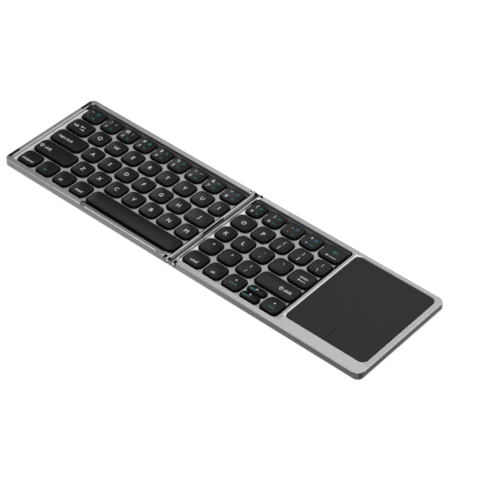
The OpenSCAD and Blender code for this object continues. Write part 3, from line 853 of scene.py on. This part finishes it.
for node in key_nodes:
    if not prints[node]:
        continue
    film = bmesh.new()
    for key, words, x, y, size, ink in prints[node]:
        low, high = key_boxes[node][key]
        one = bmesh.new()
        if words.startswith("*") and len(words) > 1:
            sign(one, words, size)
        else:
            lettering(one, words, size)
        bmesh.ops.remove_doubles(one, verts=one.verts, dist=join_mm)
        place = (low + high) / 2 + Vector((x, y, 0)) * MM
        one.transform(Matrix.Translation(place) @ Matrix.Scale(MM, 4))
        for face in one.faces:
            face.material_index = ink
        for vert in one.verts:
            lift = vert.co.z - (low.z + high.z) / 2
            spot = cap_surface[node].ray_cast((vert.co.x, vert.co.y, far), (0, 0, -1))[0]
            vert.co.z = spot.z + lift
        add_all(film, one)
    mesh = bpy.data.meshes.new(node + "_legend")
    film.to_mesh(mesh)
    film.free()
    for finish in (legend_grey, legend_teal, legend_blue, legend_dim):
        mesh.materials.append(finish)
    legend = new_object(node + "_legend", mesh)
    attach(legend, node)


# Touchpad
# A matt black plate that tilts a little about its back edge, which is its click. A fine line at
# its front parts the left click from the right one, and its darker edge is painted shade.
pad_black = plastic("pad_black", (0.0115, 0.0116, 0.012), 0.5, 0.25, 0.2, 0.1)
pad_edge_painted_shade = plastic("pad_edge_painted_shade", (0.003, 0.003, 0.0032), 0.6, 0.1, 0.2, 0.1)
pad_edge_angle = math.radians(70)
PAD_EDGE = 1
pad = merged_copy("touchpad_plate", "touchpad")
pad.data.materials.append(pad_black)
pad.data.materials.append(pad_edge_painted_shade)
pad_bevel = soften_edges(pad, width_mm=0.45, finish=PAD_EDGE)
pad_bevel.angle_limit = pad_edge_angle
for face in pad.data.polygons:
    faces_up = face.normal.z >= 0.5
    if not faces_up:
        face.material_index = PAD_EDGE
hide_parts("touchpad")
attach(pad, "touchpad")


# Hinge
# Two steel link plates joined by a low bar carry four polished pins, two at each end, so that
# each half turns about its own pair. A flat cable crosses between the halves, in two parts, each
# cut into short steps along its length.
steel = metal("brushed_steel", (0.72, 0.725, 0.735), 0.3, 0.2, 0.04, 0.1)
# The link plates' dark steel is painted shade, like the case's sides.
link_painted_shade = metal("link_steel", (0.16, 0.162, 0.168), 0.3, 0.2, 0.04, 0.1)
polished = metal("polished_pin", (0.92, 0.925, 0.93), 0.3, 0.3, 0.02, 0.03)
LINK_TOP = 1
LINK_BLACK = 2
link_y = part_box("hinge_spine")[1].y
lip_w = 0.6 * MM
lip_start = 0.01 * MM
link_end_x = 3.4 * MM
waist_x = 1.8 * MM
waist_z = 4 * MM
link_top_z = 5 * MM

links_piece = merged_copy("hinge_links", "hinge_spine")
for finish in (link_painted_shade, satin["left"], pocket_painted_shade):
    links_piece.data.materials.append(finish)
# The links' top is satin; their lips, round ends and the top of their waist are black, painted
# shade.
for face in links_piece.data.polygons:
    x, y, z = face.center
    faces_up = face.normal.z > 0.5
    at_lip = lip_start < abs(abs(y) - link_y) < lip_w
    at_end = abs(face.normal.y) < 0.5 and abs(x) > link_end_x
    at_waist = faces_up and abs(x) < waist_x and z > waist_z
    if at_lip or at_end or at_waist:
        face.material_index = LINK_BLACK
    elif faces_up and z > link_top_z:
        face.material_index = LINK_TOP
soften_edges(links_piece, width_mm=0.08)
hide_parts("hinge_spine")
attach(links_piece, "spine")

pins = merged_copy("pins", "hinge_pins")
pins.data.materials.append(polished)
soften_edges(pins, width_mm=0.08)
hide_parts("hinge_pins")
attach(pins, "spine")

film_grey = plastic("ribbon_film", (0.14, 0.14, 0.145), 0.5, 0.5, 0.3, 0.1)
ribbon_steps = 24
low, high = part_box("ribbon_cable")
reach = high.x
for half, side in (("left", -1), ("right", 1)):
    bm = bmesh.new()
    middle = Vector((side * reach / 2, 0, (low.z + high.z) / 2))
    size = (reach, high.y - low.y, high.z - low.z, 1)
    bmesh.ops.create_cube(bm, size=1, matrix=Matrix.Translation(middle) @ Matrix.Diagonal(size))
    for i in range(1, ribbon_steps):
        bmesh.ops.bisect_plane(
            bm, geom=[*bm.verts, *bm.edges, *bm.faces], dist=cut_distance,
            plane_co=(side * reach * i / ribbon_steps, 0, 0), plane_no=(1, 0, 0))
    mesh = bpy.data.meshes.new("ribbon_" + half)
    bm.to_mesh(mesh)
    bm.free()
    mesh.materials.append(film_grey)
    ribbon = new_object("ribbon_" + half, mesh)
    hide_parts("ribbon_cable")
    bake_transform(ribbon)


# Rubber
# Four oblong black feet are glued under each half, and two bumpers on the left rim keep the
# halves apart when the keyboard is closed.
rubber = plastic("black_rubber", (0.008, 0.008, 0.0085), 0.6, 0.3, 0.1, 0.3)
for name, node, body in (
    ("bumpers", "fold_bumpers", "left_half"),
    ("left_rubber_feet", "left_feet", "left_half"),
    ("right_rubber_feet", "right_feet", "right_half"),
):
    part = merged_copy(name, node)
    part.data.materials.append(rubber)
    soften_edges(part, width_mm=0.15)
    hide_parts(node)
    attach(part, body)


# Domes and levers
# A sheet of rubber domes and crossed levers sits under the keys. They are drawn folded down, as
# under a pressed key, so that every cap has room to travel.
lever_white = plastic("lever_white", (0.6, 0.59, 0.56), 0.5, 0.4, 0.3, 0.1)
dome_grey = plastic("dome_grey", (0.05, 0.052, 0.06), 0.6, 0.4, 0.3, 0.1)
sheet_top = 1.9 * MM
folded_share = 0.55
for half in ("left", "right"):
    for node, finish, slot in (
        (half + "_switch_sheet", dome_grey, "sheet"),
        (half + "_scissors", lever_white, "lever"),
    ):
        part = merged_copy(node + "_folded", node)
        part.data.materials.append(finish)
        for vert in part.data.vertices:
            above = vert.co.z - sheet_top
            if above > 0:
                vert.co.z = sheet_top + above * folded_share
        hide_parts(node)
        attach(part, half + "_half")


# Bases, screws and the parts inside
# Thin aluminium sheets close both halves from below, held by small steel screws. The right half
# holds the foil-wrapped battery, a black board with the charging socket, and the click switch.
sheet_grey = metal("base_aluminium", (0.36, 0.363, 0.37), 0.4, 0.15, 0.05, 0.2)
board_black = plastic("board_black", (0.008, 0.009, 0.009), 0.4, 0.5, 0.4, 0.1)
cell_foil = metal("cell_foil", (0.45, 0.45, 0.46), 0.35, 0.8, 0.05, 0.3)
for node, finish in (
    ("left_base", sheet_grey),
    ("right_base", sheet_grey),
    ("left_screws", steel),
    ("right_screws", steel),
    ("battery", cell_foil),
    ("charging_board", board_black),
    ("touchpad_switch", lever_white),
):
    nodes[node].data.materials.clear()
    nodes[node].data.materials.append(finish)
